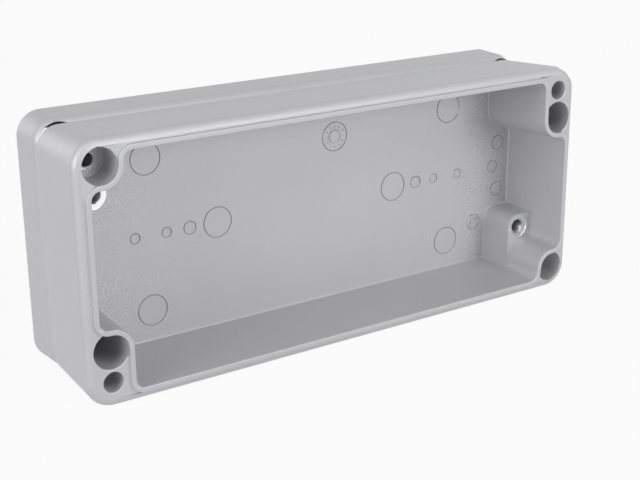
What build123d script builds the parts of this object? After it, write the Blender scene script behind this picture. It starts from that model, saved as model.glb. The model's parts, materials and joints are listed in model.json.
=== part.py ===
from build123d import *
from math import radians, tan
import os

# A die cast aluminium enclosure with its lid taken off. The base stands on one long side with its
# mouth towards -Y. The lid stands behind it, outer face against the base's back, rim at the far side.
# Both castings are drawn lying flat, with X along the box, Y across it and Z up out of the base's
# mouth, and are stood up together at the end. All sizes are in mm and angles in degrees.

# Outside of the closed box
box_length = 150.0
box_width = 64.0
base_height = 25.0
lid_height = 11.0

# Base casting: outside
base_corner = 6.75
base_draft = 3.2
back_edge_round = 2.6
rim_edge_round = 2.1

# Base casting: hollow
base_rim_width = 3.45
base_floor = 3.5
hollow_draft = 2.3

# Corner pillars: one screw hole in two of them, a screw hole and a mounting hole in the others
screw_inset = 6.3
mounting_hole_pitch = 7.8
pillar_round = 5.4
pillar_root = 2.2

# Sealing rib on the base's rim
rib_width = 1.3
rib_height = 0.95

# Lid screw holes in the base: a cast lead-in, then a tapped hole
lead_in_depth = 7.3
wide_lead_in_radius = 4.25
narrow_lead_in_radius = 2.55
lead_in_draft = 1.5
thread_core_radius = 1.65
thread_length = 9.0

# Wall mounting holes: a deep pocket for the screw head, then a through hole
mounting_pocket_radius = 4.5
mounting_web = 4.0
mounting_hole_radius = 2.3

# Inner bosses, one beside each single-hole pillar, with a tapped and countersunk hole
boss_x_inset = 9.0
boss_y_inset = 16.0
boss_radius = 3.6
boss_top_depth = 11.1
boss_hole_depth = 8.0
countersink_radius = 2.15
spot_face_radius = 3.45
spot_face_depth = 0.15

# Lid casting
lid_corner = 6.15
lid_draft = 2.5
face_edge_round = 2.5
lid_roof = 2.8
lid_lip_width = 1.2
lid_pillar_root = 1.1
screw_pocket_radius = 5.0
screw_pocket_depth = 7.4
screw_hole_radius = 2.25

# Sealing groove in the lid's rim and the cord in it
groove_outer_clearance = 0.15
groove_inner_clearance = 0.35
gasket_height = 1.9
gasket_squash = 0.25

# How the lid stands behind the base
lid_shift = 1.3

# Places worked out from the sizes above
screw_x = box_length / 2 - screw_inset
screw_y = box_width / 2 - screw_inset
mounting_y = screw_y - mounting_hole_pitch
pillar_x = screw_x - pillar_round
single_pillar_y = screw_y - pillar_round
double_pillar_y = mounting_y - pillar_round
boss_x = box_length / 2 - boss_x_inset
boss_y = box_width / 2 - boss_y_inset
boss_top = base_height - boss_top_depth
thread_top = base_height - lead_in_depth
groove_depth = rib_height + gasket_height - gasket_squash
overall_depth = rib_height + base_height + lid_height
# The rim's rounding takes this much off a drafted wall, so the wall starts that much further out
rim_overhang = rim_edge_round * tan(radians(base_draft))

# The double pillars lie at (-X, -Y) and (+X, +Y), the single ones at (-X, +Y) and (+X, -Y)
single_corners = ((-1, 1), (1, -1))
double_corners = ((-1, -1), (1, 1))


def near(value, target):
    return abs(abs(value) - target) < 0.01


def leaning(prism, level, angle):
    """A straight prism whose side walls lean inwards by the angle, below the given level."""
    walls = prism.faces().filter_by(Axis.Z, reverse=True)
    return draft(walls, Plane.XY.offset(level), -angle)


def mouth_profile(inset, root):
    """Edge of a casting's mouth: a rectangle with a rounded pillar standing in each corner."""
    half_length = box_length / 2 - base_rim_width - inset
    half_width = box_width / 2 - base_rim_width - inset
    side_x = pillar_x - inset
    mouth = Rectangle(2 * half_length, 2 * half_width)
    for corners, pillar_y in ((single_corners, single_pillar_y), (double_corners, double_pillar_y)):
        side_y = pillar_y - inset
        for sx, sy in corners:
            notch = Rectangle(half_length - side_x, half_width - side_y)
            mouth -= Pos(sx * (half_length + side_x) / 2, sy * (half_width + side_y) / 2) * notch
    at_wall = [v for v in mouth.vertices() if near(v.X, half_length) or near(v.Y, half_width)]
    mouth = fillet(at_wall, root)
    sides_y = (single_pillar_y - inset, double_pillar_y - inset)
    at_pillar = [v for v in mouth.vertices() if near(v.X, side_x) and any(near(v.Y, y) for y in sides_y)]
    return fillet(at_pillar, pillar_round + inset)


mouth = mouth_profile(0, pillar_root)
rib_outline = offset(mouth, rib_width)


def boss_block():
    """Block that fills the corner beside a single pillar, wider towards the floor."""
    into_wall = base_rim_width / 2
    near_x = boss_x - boss_radius
    near_y = boss_y - boss_radius
    length = box_length / 2 - into_wall - near_x
    width = box_width / 2 - into_wall - near_y
    top = Pos(near_x + length / 2, near_y + width / 2) * Rectangle(length, width)
    inner_corner = top.vertices().sort_by(Axis.X)[:2].sort_by(Axis.Y)[0]
    top = fillet(inner_corner, boss_radius)
    block = extrude(Pos(0, 0, boss_top) * top, base_floor - boss_top)
    return leaning(block, boss_top, -hollow_draft)


def base_hollow():
    """The space inside the base, from the ledge down to the floor, with the bosses left standing."""
    hollow = extrude(Pos(0, 0, base_height) * mouth, base_floor - base_height)
    hollow = leaning(hollow, base_height, hollow_draft)
    block = boss_block()
    return hollow - mirror(block, Plane.YZ) - mirror(block, Plane.XZ)


def straight_hole(radius, depth):
    """A straight hole, opening upwards at Z = 0."""
    return Pos(0, 0, -depth / 2) * Cylinder(radius, depth)


def lead_in(radius):
    """A lead-in left by a tapered core pin, opening upwards at the base's rim."""
    bottom_radius = radius - lead_in_depth * tan(radians(lead_in_draft))
    return Pos(0, 0, base_height - lead_in_depth / 2) * Cone(bottom_radius, radius, lead_in_depth)


def cast_holes():
    """Lead-ins of the lid screws and pockets of the mounting holes, all open at the base's rim."""
    pocket = Pos(0, 0, base_height) * straight_hole(mounting_pocket_radius, base_height - mounting_web)
    holes = [Pos(sx * screw_x, sy * screw_y) * lead_in(wide_lead_in_radius) for sx, sy in single_corners]
    holes += [Pos(sx * screw_x, sy * screw_y) * lead_in(narrow_lead_in_radius) for sx, sy in double_corners]
    holes += [Pos(sx * screw_x, sy * mounting_y) * pocket for sx, sy in double_corners]
    # The same half of the die forms the rib, so the rib's foot cuts these holes' outlines straight
    rib_foot = extrude(rib_outline, base_height)
    return [hole - rib_foot for hole in holes]


def drilled_holes():
    """Holes made after casting: the threads' cores, the spot faces and the mounting holes."""
    thread = Pos(0, 0, thread_top) * straight_hole(thread_core_radius, thread_length)
    holes = [Pos(sx * screw_x, sy * screw_y) * thread for sx, sy in single_corners + double_corners]
    mounting = Pos(0, 0, mounting_web) * straight_hole(mounting_hole_radius, mounting_web)
    holes += [Pos(sx * screw_x, sy * mounting_y) * mounting for sx, sy in double_corners]
    countersink_depth = countersink_radius - thread_core_radius
    for sx, sy in single_corners:
        seat = Pos(sx * boss_x, sy * boss_y, boss_top)
        holes.append(seat * straight_hole(spot_face_radius, spot_face_depth))
        seat *= Pos(0, 0, -spot_face_depth)
        holes.append(seat * straight_hole(thread_core_radius, boss_hole_depth))
        cutter = Cone(thread_core_radius, countersink_radius, countersink_depth)
        holes.append(seat * Pos(0, 0, -countersink_depth / 2) * cutter)
    return holes


def base_casting():
    outline = RectangleRounded(box_length + 2 * rim_overhang, box_width + 2 * rim_overhang, base_corner)
    base = leaning(extrude(outline, base_height), base_height, base_draft)
    base = fillet(base.faces().sort_by(Axis.Z)[0].edges(), back_edge_round)
    base = fillet(base.faces().sort_by(Axis.Z)[-1].edges(), rim_edge_round)
    base -= base_hollow()
    base -= cast_holes()
    base -= drilled_holes()
    rib = extrude(Pos(0, 0, base_height) * (rib_outline - mouth), rib_height)
    return base + rib


def groove_band(lowest, height):
    """Solid ring that follows the base's rib, as wide as the lid's groove."""
    outer = offset(rib_outline, groove_outer_clearance)
    inner = offset(mouth, -groove_inner_clearance)
    return extrude(Pos(0, 0, lowest) * (outer - inner), height)


def lid_casting():
    rim = -lid_height
    outline = RectangleRounded(box_length, box_width, lid_corner)
    lid = leaning(extrude(Pos(0, 0, rim) * outline, lid_height), rim, -lid_draft)
    lid = fillet(lid.faces().sort_by(Axis.Z)[-1].edges(), face_edge_round)
    inside = mouth_profile(groove_inner_clearance + lid_lip_width, lid_pillar_root)
    lid -= extrude(Pos(0, 0, rim) * inside, lid_height - lid_roof)
    lid -= groove_band(rim, groove_depth)
    for sx, sy in single_corners + double_corners:
        lid -= Pos(sx * screw_x, sy * screw_y) * straight_hole(screw_pocket_radius, screw_pocket_depth)
        lid -= Pos(sx * screw_x, sy * screw_y) * straight_hole(screw_hole_radius, lid_height)
    return lid


def lid_gasket():
    return groove_band(groove_depth - lid_height - gasket_height, gasket_height)


# Stand the pieces up: the flat drawing's Z becomes -Y, and its Y becomes Z
stand_up = Pos(-lid_shift / 2, base_height + rib_height - overall_depth / 2, box_width / 2) * Rot(90, 0, 0)
behind_base = stand_up * Pos(lid_shift, 0, 0)

pieces = {
    "base_casting": stand_up * base_casting(),
    "lid_casting": behind_base * lid_casting(),
    "lid_gasket": behind_base * lid_gasket(),
}

os.makedirs("parts", exist_ok=True)
for name, piece in pieces.items():
    export_step(piece, f"parts/{name}.step")
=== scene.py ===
import json
from math import cos, radians, sin, tan, tau

import bmesh
import bpy
from mathutils import Matrix, Vector


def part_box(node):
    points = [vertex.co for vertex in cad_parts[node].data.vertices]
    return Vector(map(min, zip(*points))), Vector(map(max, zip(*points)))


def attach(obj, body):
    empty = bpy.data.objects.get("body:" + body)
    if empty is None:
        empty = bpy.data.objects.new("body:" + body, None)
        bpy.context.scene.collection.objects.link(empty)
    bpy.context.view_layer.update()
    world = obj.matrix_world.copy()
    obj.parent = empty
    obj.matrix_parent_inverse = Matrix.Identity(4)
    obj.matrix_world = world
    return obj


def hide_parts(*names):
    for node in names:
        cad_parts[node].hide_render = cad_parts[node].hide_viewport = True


# A die cast aluminium enclosure, taken apart. The base stands on one long side with its mouth to
# -Y, and the lid stands behind it. X runs along the box and Z is up. Lengths are in metres.
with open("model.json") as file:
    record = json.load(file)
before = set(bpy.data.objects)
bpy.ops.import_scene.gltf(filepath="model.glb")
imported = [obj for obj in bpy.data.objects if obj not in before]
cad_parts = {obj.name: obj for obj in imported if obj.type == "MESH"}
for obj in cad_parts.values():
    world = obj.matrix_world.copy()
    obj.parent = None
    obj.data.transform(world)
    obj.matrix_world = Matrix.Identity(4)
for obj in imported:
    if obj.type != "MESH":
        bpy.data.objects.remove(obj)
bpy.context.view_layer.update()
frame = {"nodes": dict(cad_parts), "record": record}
MM = 0.001


# Camera: a short telephoto lens a little above the box and to its left, as a product
# photographer stands. The lens suits a picture 640 pixels wide and 480 high.
camera_place = Vector((-177.41, -262.25, 128.07)) * MM
camera_turn = (radians(71.589), radians(0.470), radians(-34.247))
lens_length = 70.42
sensor_width = 36.0

camera_data = bpy.data.cameras.new("product_camera")
camera_data.sensor_width = sensor_width
camera_data.lens = lens_length
camera = bpy.data.objects.new("product_camera", camera_data)
camera.location = camera_place
camera.rotation_euler = camera_turn
bpy.context.scene.collection.objects.link(camera)
bpy.context.scene.camera = camera
bpy.context.scene.view_settings.view_transform = "Standard"


# Studio: large soft lamps round the box and a weak, even room light. The backdrop and most
# of the floor are white where the camera, a reflection or a refraction looks at them.
room_level = 0.2
lamp_distance = 1.5
lamp_size = 0.8
lamp_aim = Vector((0, 0, 0.03))
floor_size = 6.0
floor_shadow_share = 0.08
paper_level = 0.85


def set_inputs(node, **values):
    """Sets a node's sockets by name, with _ for each space in a socket's name."""
    for name, value in values.items():
        node.inputs[name.replace("_", " ")].default_value = value


def grey(level):
    return (level, level, level, 1)


def math_node(tree, operation, *inputs):
    """A Math node fed by sockets or plain numbers; gives its output socket."""
    node = tree.nodes.new("ShaderNodeMath")
    node.operation = operation
    for socket, value in zip(node.inputs, inputs):
        if isinstance(value, bpy.types.NodeSocket):
            tree.links.new(value, socket)
        else:
            socket.default_value = value
    return node.outputs[0]


def soft_lamp(name, azimuth, elevation, power):
    """A round lamp in a direction from the box, in degrees from +X towards +Y and above the floor."""
    data = bpy.data.lights.new(name, "AREA")
    data.shape = "DISK"
    data.size = lamp_size
    data.energy = power
    lamp = bpy.data.objects.new(name, data)
    outwards = Vector((cos(radians(azimuth)), sin(radians(azimuth)), tan(radians(elevation)))).normalized()
    lamp.location = lamp_aim + lamp_distance * outwards
    lamp.rotation_euler = outwards.to_track_quat("Z", "Y").to_euler()
    bpy.context.scene.collection.objects.link(lamp)


soft_lamp("left_lamp", -165, 12, 8.6)
soft_lamp("left_high_lamp", -165, 45, 2.6)
soft_lamp("front_lamp", -71, 12, 7.6)
soft_lamp("front_high_lamp", -75, 45, 3.0)
soft_lamp("top_lamp", -113, 60, 1.4)
soft_lamp("right_lamp", 20, 12, 6.5)
soft_lamp("back_lamp", 110, 12, 1.8)


def white_rays(tree):
    """One for the rays that see the white background, and nought for those that carry its light."""
    ray = tree.nodes.new("ShaderNodeLightPath")
    direct = math_node(tree, "MAXIMUM", ray.outputs["Is Camera Ray"], ray.outputs["Is Transmission Ray"])
    return math_node(tree, "MAXIMUM", direct, ray.outputs["Is Glossy Ray"])


world = bpy.data.worlds.new("room")
bpy.context.scene.world = world
world.use_nodes = True
tree = world.node_tree
tree.nodes.clear()
room_light = tree.nodes.new("ShaderNodeBackground")
set_inputs(room_light, Color=grey(1), Strength=room_level)
white = tree.nodes.new("ShaderNodeBackground")
set_inputs(white, Color=grey(1), Strength=1)
mix = tree.nodes.new("ShaderNodeMixShader")
tree.links.new(white_rays(tree), mix.inputs[0])
tree.links.new(room_light.outputs[0], mix.inputs[1])
tree.links.new(white.outputs[0], mix.inputs[2])
tree.links.new(mix.outputs[0], tree.nodes.new("ShaderNodeOutputWorld").inputs["Surface"])

floor_mesh = bmesh.new()
bmesh.ops.create_grid(floor_mesh, x_segments=1, y_segments=1, size=floor_size / 2)
floor_data = bpy.data.meshes.new("floor")
floor_mesh.to_mesh(floor_data)
floor_mesh.free()
floor = bpy.data.objects.new("floor", floor_data)
bpy.context.scene.collection.objects.link(floor)
paper = bpy.data.materials.new("white_paper")
paper.use_nodes = True
tree = paper.node_tree
tree.nodes.clear()
matt = tree.nodes.new("ShaderNodeBsdfDiffuse")
set_inputs(matt, Color=grey(paper_level))
glow = tree.nodes.new("ShaderNodeEmission")
set_inputs(glow, Color=grey(1), Strength=1)
share = math_node(tree, "MULTIPLY", white_rays(tree), 1 - floor_shadow_share)
mix = tree.nodes.new("ShaderNodeMixShader")
tree.links.new(share, mix.inputs[0])
tree.links.new(matt.outputs[0], mix.inputs[1])
tree.links.new(glow.outputs[0], mix.inputs[2])
tree.links.new(mix.outputs[0], tree.nodes.new("ShaderNodeOutputMaterial").inputs["Surface"])
floor_data.materials.append(paper)


# Base casting: one pressure die casting in aluminium with its screw pillars, bosses and sealing
# rib, left with its grey satin skin. Its edges are tumbled round, its floor bears the marks of the
# die's ejector pins and inserts, and its threads and boss seats are cut after casting.
skin_colour = (0.53, 0.53, 0.55)
skin_roughness = 0.45
skin_metallic = 0.3
# Along the edges the skin is made smoother, as tumbling wears it, and lighter in colour: the lighter
# colour is a painted highlight.
edge_rub_and_highlight = 0.15
cloud_shade = 0.08
cloud_dullness = 0.12
grain_shade = 0.5
peel_height = 0.12
even_grain = 0.2
patch_grain = 1.4
patch_contrast = 3
grainy_from = 45 * MM
grainy_over = 20 * MM
cast_edge_round = 0.25 * MM
foot_round = 0.3 * MM
seat_edge_round = 0.05 * MM
floor_thickness = 3.5 * MM
dent_depth = 0.3 * MM
dent_slope = 0.2 * MM
groove_width = 0.32 * MM
groove_depth = 0.35 * MM
# Places on the floor from its middle, along and up, and radii, in mm. The pins lie on both halves.
proud_pins = ((36.0, 0, 1.7), (42.5, 0, 1.3), (51.2, 0, 1.3), (64.7, 0, 1.8))
flush_pins = ((28.0, 0, 4.0), (66.5, 7.0, 2.1), (66.5, -7.0, 2.1), (47.4, 19.6, 4.0), (47.4, -19.6, 4.0))
insert_marks = ((8.4, 17.1, 3.9), (58.0, -15.9, 2.3))
insert_ticks = 12
# Shares of an insert mark's radius: its inner ring, and where its ticks start and end
insert_inner_ring = 0.45
tick_start = 0.62
tick_end = 0.82
# Flakes of burr that the tap left at one screw hole: across and up from its axis, and length, in mm
burr_flakes = ((-0.5, -2.15, 0.9), (-0.1, -2.5, 0.7), (0.6, -2.0, 0.8), (-1.2, -1.9, 0.5))
flake_thickness = 0.3
flake_width = 0.4
thread_pitch = 0.7 * MM
thread_crest_radius = 2.0 * MM
thread_run_out = 1.2 * MM
thread_cut_depth = 0.5 * MM
thread_half_mouth = 0.33 * MM
thread_half_root = 0.04 * MM
lid_thread_length = 9.0 * MM
steps_per_turn = 20
spot_face_radius = 3.45 * MM
spot_face_colour = (0.88, 0.88, 0.89, 1)
# The tapped holes' metal is given a much darker colour than the spot faces: painted shade for the inside
# of the deep holes.
tapped_colour_painted_shade = (0.42, 0.42, 0.43, 1)
sharp_angle = radians(50)
# Places of the base's four materials in its list
skin_index, floor_index, spot_face_index, tapped_index = range(4)

base_low, base_high = (Vector(corner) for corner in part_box("base_casting"))
base_middle = (base_low + base_high) / 2
floor_level = base_high.y - floor_thickness
mounts = {mount["name"]: mount for mount in frame["record"]["mounts"]}
boss_threads = (mounts["boss_thread_left"], mounts["boss_thread_right"])
boss_places = [Vector(mount["pos_m"]) for mount in boss_threads]
boss_thread_length = boss_threads[0]["dims"]["length_mm"] * MM
seat_level = boss_places[0].y - boss_thread_length / 2
lid_screws = mounts["lid_screw_threads"]
screw_reach = Vector((lid_screws["dims"]["spacing_x_mm"], 0, lid_screws["dims"]["spacing_y_mm"])) * MM / 2
screw_places = [
    Vector(lid_screws["pos_m"]) + screw_reach * Vector((side, 0, up)) for side in (-1, 1) for up in (-1, 1)
]
core_radius = lid_screws["dims"]["hole_r_mm"] * MM


def cast_mesh(node):
    """A casting from the frame as one closed mesh, with one face for each flat of the casting."""
    mesh = bmesh.new()
    mesh.from_mesh(frame["nodes"][node].data)
    bmesh.ops.remove_doubles(mesh, verts=mesh.verts, dist=0.001 * MM)
    bmesh.ops.dissolve_limit(mesh, angle_limit=radians(0.3), verts=mesh.verts, edges=mesh.edges)
    return mesh


def mesh_object(name, mesh):
    data = bpy.data.meshes.new(name)
    mesh.to_mesh(data)
    mesh.free()
    piece = bpy.data.objects.new(name, data)
    bpy.context.scene.collection.objects.link(piece)
    return piece


def cut_away(mesh, cutter):
    """The casting's mesh with the cutter's shape taken out of it."""
    blank = mesh_object("blank", mesh)
    tool = mesh_object("tool", cutter)
    cut = blank.modifiers.new("cut", "BOOLEAN")
    cut.operation = "DIFFERENCE"
    cut.solver = "EXACT"
    cut.object = tool
    result = bmesh.new()
    result.from_mesh(blank.evaluated_get(bpy.context.evaluated_depsgraph_get()).data)
    bpy.data.objects.remove(blank)
    bpy.data.objects.remove(tool)
    return result


def dent(cutter, place, radius):
    """A shallow round dent with a sloping edge, in a floor that faces -Y."""
    turn = Matrix.Rotation(radians(90), 4, "X")
    bmesh.ops.create_cone(
        cutter, cap_ends=True, segments=48, radius1=radius - dent_slope, radius2=radius + dent_slope,
        depth=2 * dent_depth, matrix=Matrix.Translation(place) @ turn
    )


def ring_groove(cutter, place, radius):
    """A narrow round groove: the line that a flush pin or an insert leaves in the floor."""
    lip = -0.02 * MM
    section = ((-0.5, lip), (0.5, lip), (0.3, groove_depth), (-0.3, groove_depth))
    corners = []
    for out, depth in section:
        corners.append(cutter.verts.new(place + Vector((radius + groove_width * out, depth, 0))))
    edges = [cutter.edges.new((corners[i - 1], corners[i])) for i in range(4)]
    bmesh.ops.spin(
        cutter, geom=corners + edges, cent=place, axis=(0, 1, 0), dvec=(0, 0, 0), angle=tau, steps=48,
        use_merge=True, use_duplicate=False
    )


def tick(cutter, place, angle, inner, outer):
    """A short straight groove that points outwards from a centre."""
    size = Matrix.Diagonal((outer - inner, 0.6 * groove_depth, groove_width, 1))
    turn = Matrix.Translation(place) @ Matrix.Rotation(angle, 4, "Y")
    outwards = Matrix.Translation(((inner + outer) / 2, 0, 0))
    bmesh.ops.create_cube(cutter, size=1, matrix=turn @ outwards @ size)


def thread_cutter(length):
    """The V groove of a metric thread, as a helix that climbs along Y from the origin."""
    cutter = bmesh.new()
    inner = thread_crest_radius - thread_cut_depth
    section = (
        (inner, -thread_half_mouth), (thread_crest_radius, -thread_half_root),
        (thread_crest_radius, thread_half_root), (inner, thread_half_mouth)
    )
    corners = [cutter.verts.new((radius, height, 0)) for radius, height in section]
    turns = length / thread_pitch
    bmesh.ops.spin(
        cutter, geom=[cutter.faces.new(corners)], cent=(0, 0, 0), axis=(0, 1, 0),
        dvec=(0, thread_pitch / steps_per_turn, 0), angle=tau * turns, steps=round(turns * steps_per_turn)
    )
    bmesh.ops.recalc_face_normals(cutter, faces=cutter.faces)
    return cutter


def cut_threads(cutter, places, length):
    """Adds a thread for each hole, from just above its mouth to a run-out above its bottom."""
    helix = thread_cutter(length - thread_run_out)
    data = bpy.data.meshes.new("helix")
    helix.to_mesh(data)
    helix.free()
    for place in places:
        start = place - Vector((0, length / 2 + thread_pitch / 2, 0))
        old = set(cutter.verts)
        cutter.from_mesh(data)
        bmesh.ops.translate(cutter, verts=[vert for vert in cutter.verts if vert not in old], vec=start)
    bpy.data.meshes.remove(data)


def off_axis(point, axis_place):
    return Vector((point.x - axis_place.x, point.z - axis_place.z)).length


def near_thread(point, reach):
    """Whether a point lies beside one of the tapped holes, within the given reach of its axis."""
    return any(
        off_axis(point, place) < reach and abs(point.y - place.y) < lid_thread_length
        for place in screw_places + boss_places
    )


def edge_middle(edge):
    return (edge.verts[0].co + edge.verts[1].co) / 2


def on_boss_top(edge):
    """Whether an edge bounds a boss's top or its machined seat, and isn't in its countersink."""
    middle = edge_middle(edge)
    outside = min(off_axis(middle, place) for place in boss_places) > 0.9 * spot_face_radius
    return outside and abs(middle.y - seat_level) < 0.7 * MM and edge.calc_face_angle() > sharp_angle


def is_inside_corner(edge):
    """Whether two upright walls meet at this edge in a hollow corner."""
    direction = (edge.verts[0].co - edge.verts[1].co).normalized()
    return abs(direction.y) > 0.9 and not edge.is_convex


def square_edges(mesh):
    """The casting's own edges, but not those of its floor, hollow corners, bosses and tapped holes."""
    return [
        edge for edge in mesh.edges
        if edge.calc_face_angle() > sharp_angle
        and abs(edge_middle(edge).y - floor_level) > 0.1 * MM
        and not on_boss_top(edge)
        and not is_inside_corner(edge)
        and not near_thread(edge_middle(edge), core_radius + 0.7 * MM)
    ]


def is_wall_foot(edge):
    """Whether a wall that climbs towards the mouth stands on the floor at this edge."""
    on_floor = all(abs(vert.co.y - floor_level) < 0.01 * MM for vert in edge.verts)
    wall_top = min(vert.co.y for face in edge.link_faces for vert in face.verts)
    return on_floor and wall_top < floor_level - 1 * MM and edge.calc_face_angle() > sharp_angle


def round_over(mesh, edges, radius):
    bmesh.ops.bevel(mesh, geom=edges, offset=radius, segments=3, profile=0.5, affect="EDGES", material=-1)


def finish_casting(mesh, name):
    """Makes the mesh a smooth-shaded piece whose flats stay flat beside their rounded edges."""
    piece = mesh_object(name, mesh)
    piece.data.shade_smooth()
    piece.data.set_sharp_from_angle(angle=radians(40))
    piece.modifiers.new("true_flats", "WEIGHTED_NORMAL").keep_sharp = True
    return piece


def on_floor(along, up):
    return Vector((base_middle.x + along * MM, floor_level, base_middle.z + up * MM))


base_mesh = cast_mesh("base_casting")
round_over(base_mesh, square_edges(base_mesh), cast_edge_round)
round_over(base_mesh, [edge for edge in base_mesh.edges if is_wall_foot(edge)], foot_round)
round_over(base_mesh, [edge for edge in base_mesh.edges if on_boss_top(edge)], seat_edge_round)
cutter = bmesh.new()
for side in (-1, 1):
    for along, up, radius in proud_pins:
        dent(cutter, on_floor(side * along, up), radius * MM - groove_width)
    for along, up, radius in proud_pins + flush_pins:
        ring_groove(cutter, on_floor(side * along, up), radius * MM)
for along, up, radius in insert_marks:
    ring_groove(cutter, on_floor(along, up), radius * MM)
    ring_groove(cutter, on_floor(along, up), insert_inner_ring * radius * MM)
    for number in range(insert_ticks):
        angle = tau * number / insert_ticks
        tick(cutter, on_floor(along, up), angle, tick_start * radius * MM, tick_end * radius * MM)
bmesh.ops.recalc_face_normals(cutter, faces=cutter.faces)
cut_threads(cutter, boss_places, boss_thread_length)
cut_threads(cutter, screw_places, lid_thread_length)
base_mesh = cut_away(base_mesh, cutter)
for across, up, size in burr_flakes:
    place = screw_places[1] + Vector((across * MM, -lid_thread_length / 2 - 0.1 * MM, up * MM))
    stretch = Matrix.Diagonal((size, flake_thickness, flake_width, 1))
    flake = Matrix.Translation(place) @ Matrix.Rotation(across + up, 4, "Y") @ stretch
    verts = bmesh.ops.create_cube(base_mesh, size=MM, matrix=flake)["verts"]
    for flake_face in {face for vert in verts for face in vert.link_faces}:
        flake_face.material_index = spot_face_index
base = finish_casting(base_mesh, "base_casting_skin")


def skin_group():
    """Node group: a satin skin with faint clouds, edges that tumbling left smoother and that are lighter
    in colour as a painted highlight, and as much grain as is asked for.
    """
    group = bpy.data.node_groups.new("casting_skin", "ShaderNodeTree")
    sockets = group.interface
    for name, kind in (("Vector", "Vector"), ("Grain", "Float"), ("Rub", "Float")):
        sockets.new_socket(name, in_out="INPUT", socket_type=f"NodeSocket{kind}")
    for name, kind in (("Shade", "Float"), ("Roughness", "Float"), ("Normal", "Vector")):
        sockets.new_socket(name, in_out="OUTPUT", socket_type=f"NodeSocket{kind}")
    inside = group.nodes.new("NodeGroupInput")
    outside = group.nodes.new("NodeGroupOutput")

    def noise(scale, detail):
        node = group.nodes.new("ShaderNodeTexNoise")
        set_inputs(node, Scale=scale, Detail=detail)
        group.links.new(inside.outputs["Vector"], node.inputs["Vector"])
        return math_node(group, "SUBTRACT", node.outputs["Fac"], 0.5)

    cloud = noise(35, 3)
    peel = noise(900, 1)
    grain = math_node(group, "MULTIPLY", noise(2300, 1), inside.outputs["Grain"])
    shade = math_node(group, "MULTIPLY_ADD", cloud, cloud_shade, 1.0)
    shade = math_node(group, "MULTIPLY_ADD", grain, grain_shade, shade)
    # Pointiness finds the edges. There the roughness drops for wear, and the colour is lifted as a painted
    # highlight.
    rub_and_highlight_mask = group.nodes.new("ShaderNodeMapRange")
    set_inputs(rub_and_highlight_mask, From_Min=0.54, From_Max=0.62)
    group.links.new(group.nodes.new("ShaderNodeNewGeometry").outputs["Pointiness"], rub_and_highlight_mask.inputs["Value"])
    rub_and_highlight_mask = math_node(group, "MULTIPLY", rub_and_highlight_mask.outputs["Result"], inside.outputs["Rub"])
    shade = math_node(group, "MULTIPLY_ADD", rub_and_highlight_mask, edge_rub_and_highlight, shade)
    roughness = math_node(group, "MULTIPLY_ADD", cloud, cloud_dullness, skin_roughness)
    roughness = math_node(group, "MULTIPLY_ADD", rub_and_highlight_mask, -edge_rub_and_highlight, roughness)
    height = math_node(group, "MULTIPLY_ADD", peel, peel_height, grain)
    bump = group.nodes.new("ShaderNodeBump")
    set_inputs(bump, Strength=0.6, Distance=0.03 * MM)
    group.links.new(height, bump.inputs["Height"])
    group.links.new(shade, outside.inputs["Shade"])
    group.links.new(roughness, outside.inputs["Roughness"])
    group.links.new(bump.outputs["Normal"], outside.inputs["Normal"])
    return group


casting_skin = skin_group()


def new_material(name):
    material = bpy.data.materials.new(name)
    material.use_nodes = True
    tree = material.node_tree
    place = tree.nodes.new("ShaderNodeTexCoord").outputs["Object"]
    return material, tree, tree.nodes["Principled BSDF"], place


def cast_skin(name):
    """Satin aluminium; gives the material, its nodes, the skin's node and the place on the piece."""
    material, tree, shader, place = new_material(name)
    set_inputs(shader, Metallic=skin_metallic, Specular_IOR_Level=0.2)
    skin = tree.nodes.new("ShaderNodeGroup")
    skin.node_tree = casting_skin
    # Edges get their smoother skin and their painted highlight; the floor turns both off.
    set_inputs(skin, Grain=even_grain, Rub=1)
    tree.links.new(place, skin.inputs["Vector"])
    tint = tree.nodes.new("ShaderNodeVectorMath")
    tint.operation = "SCALE"
    tint.inputs[0].default_value = skin_colour
    tree.links.new(skin.outputs["Shade"], tint.inputs["Scale"])
    tree.links.new(tint.outputs[0], shader.inputs["Base Color"])
    tree.links.new(skin.outputs["Roughness"], shader.inputs["Roughness"])
    tree.links.new(skin.outputs["Normal"], shader.inputs["Normal"])
    return material, tree, skin, place


def floor_skin():
    """The cast skin of the floor, which turns grainy in patches towards the two ends of the box."""
    material, tree, skin, place = cast_skin("floor_cast_skin")
    set_inputs(skin, Rub=0)
    axes = tree.nodes.new("ShaderNodeSeparateXYZ")
    tree.links.new(place, axes.inputs[0])
    along = math_node(tree, "ABSOLUTE", math_node(tree, "SUBTRACT", axes.outputs["X"], base_middle.x))
    reach = math_node(tree, "DIVIDE", math_node(tree, "SUBTRACT", along, grainy_from), grainy_over)
    patches = tree.nodes.new("ShaderNodeTexNoise")
    set_inputs(patches, Scale=60, Detail=2)
    tree.links.new(place, patches.inputs["Vector"])
    uneven = math_node(tree, "MULTIPLY_ADD", patches.outputs["Fac"], patch_contrast, -patch_contrast / 2)
    grain = math_node(tree, "ADD", reach, uneven)
    grain.node.use_clamp = True
    tree.links.new(math_node(tree, "MULTIPLY_ADD", grain, patch_grain, even_grain), skin.inputs["Grain"])
    return material


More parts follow.
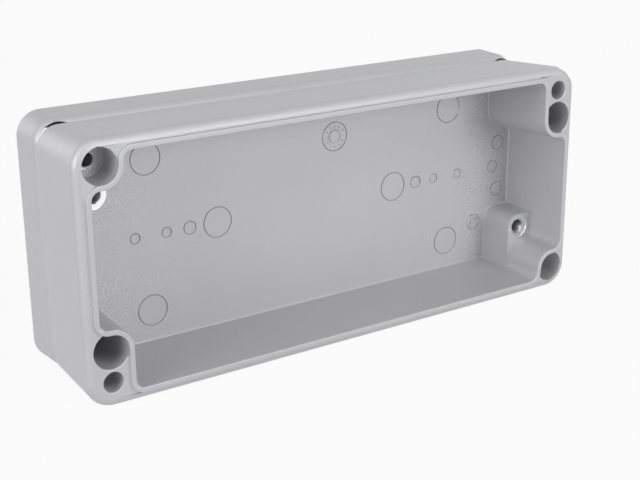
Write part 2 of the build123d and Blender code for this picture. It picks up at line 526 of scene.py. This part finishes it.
def machined_metal(name, colour, dullness):
    """Bright aluminium where a tool has cut the cast skin, with turning marks round each boss's hole."""
    material, tree, shader, place = new_material(name)
    set_inputs(shader, Base_Color=colour, Metallic=1.0)
    centre = tree.nodes.new("ShaderNodeVectorMath")
    centre.operation = "SUBTRACT"
    tree.links.new(place, centre.inputs[0])
    centre.inputs[1].default_value = base_middle
    mirrored = tree.nodes.new("ShaderNodeVectorMath")
    mirrored.operation = "ABSOLUTE"
    tree.links.new(centre.outputs[0], mirrored.inputs[0])
    boss = boss_places[1] - base_middle
    from_boss = tree.nodes.new("ShaderNodeVectorMath")
    from_boss.operation = "SUBTRACT"
    tree.links.new(mirrored.outputs[0], from_boss.inputs[0])
    from_boss.inputs[1].default_value = (abs(boss.x), 0, abs(boss.z))
    rings = tree.nodes.new("ShaderNodeTexWave")
    rings.wave_type = "RINGS"
    rings.rings_direction = "Y"
    set_inputs(rings, Scale=900, Distortion=1.5, Detail=2, Detail_Scale=3)
    tree.links.new(from_boss.outputs[0], rings.inputs["Vector"])
    roughness = math_node(tree, "MULTIPLY_ADD", rings.outputs["Fac"], 0.15, dullness)
    tree.links.new(roughness, shader.inputs["Roughness"])
    bump = tree.nodes.new("ShaderNodeBump")
    set_inputs(bump, Strength=0.3, Distance=0.01 * MM)
    tree.links.new(rings.outputs["Fac"], bump.inputs["Height"])
    tree.links.new(bump.outputs["Normal"], shader.inputs["Normal"])
    return material


def in_spot_face(corners):
    """Whether a face's corners all lie within the machined ring round one boss's hole."""
    seat_reach = spot_face_radius + 0.02 * MM
    return any(all(off_axis(corner, place) < seat_reach for corner in corners) for place in boss_places)


def face_material(face):
    """The place in the base's list of materials of the one that a face has."""
    corners = [base.data.vertices[index].co for index in face.vertices]
    if all(near_thread(corner, thread_crest_radius + 0.2 * MM) for corner in corners):
        return tapped_index
    if abs(face.center.y - seat_level) < 0.6 * MM:
        return spot_face_index if in_spot_face(corners) else skin_index
    at_floor = all(-0.02 * MM < corner.y - floor_level < 1 * MM for corner in corners)
    return floor_index if at_floor and face.normal.y < 0 else skin_index


base.data.materials.append(cast_skin("base_cast_skin")[0])
base.data.materials.append(floor_skin())
base.data.materials.append(machined_metal("spot_faced_aluminium", spot_face_colour, 0.15))
# The darker colour of the tapped metal is painted shade.
base.data.materials.append(machined_metal("tapped_aluminium_painted_shade", tapped_colour_painted_shade, 0.3))
for face in base.data.polygons:
    face.material_index = face.material_index or face_material(face)
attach(base, "root")
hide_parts("base_casting")


# Lid casting: the lid is cast and tumbled like the base. Its four screw pockets and the groove
# for its seal come from the die too, so all its edges are rounded in the same way.
lid_edge_round = 0.2 * MM


def sharp_edges(mesh):
    return [edge for edge in mesh.edges if edge.calc_face_angle() > radians(30)]


lid_mesh = cast_mesh("lid_casting")
round_over(lid_mesh, sharp_edges(lid_mesh), lid_edge_round)
lid = finish_casting(lid_mesh, "lid_casting_skin")
lid.data.materials.append(cast_skin("lid_cast_skin")[0])
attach(lid, "root")
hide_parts("lid_casting")


# Lid seal: one moulded rubber cord, pressed into the groove round the lid's rim. Its edges are
# round, and its skin is dull with a little dust in it.
seal_edge_round = 0.35 * MM
clean_rubber = (0.018, 0.018, 0.019, 1)
dusty_rubber = (0.045, 0.045, 0.045, 1)

seal_mesh = cast_mesh("lid_gasket")
round_over(seal_mesh, sharp_edges(seal_mesh), seal_edge_round)
seal = finish_casting(seal_mesh, "lid_seal_rubber")
rubber, tree, shader, place = new_material("seal_rubber")
dust = tree.nodes.new("ShaderNodeTexNoise")
set_inputs(dust, Scale=400, Detail=4)
tree.links.new(place, dust.inputs["Vector"])
tone = tree.nodes.new("ShaderNodeMix")
tone.data_type = "RGBA"
tone.inputs["A"].default_value = clean_rubber
tone.inputs["B"].default_value = dusty_rubber
tree.links.new(dust.outputs["Fac"], tone.inputs["Factor"])
tree.links.new(tone.outputs["Result"], shader.inputs["Base Color"])
tree.links.new(math_node(tree, "MULTIPLY_ADD", dust.outputs["Fac"], 0.2, 0.6), shader.inputs["Roughness"])
bump = tree.nodes.new("ShaderNodeBump")
set_inputs(bump, Strength=0.4, Distance=0.02 * MM)
tree.links.new(dust.outputs["Fac"], bump.inputs["Height"])
tree.links.new(bump.outputs["Normal"], shader.inputs["Normal"])
seal.data.materials.append(rubber)
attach(seal, "root")
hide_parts("lid_gasket")
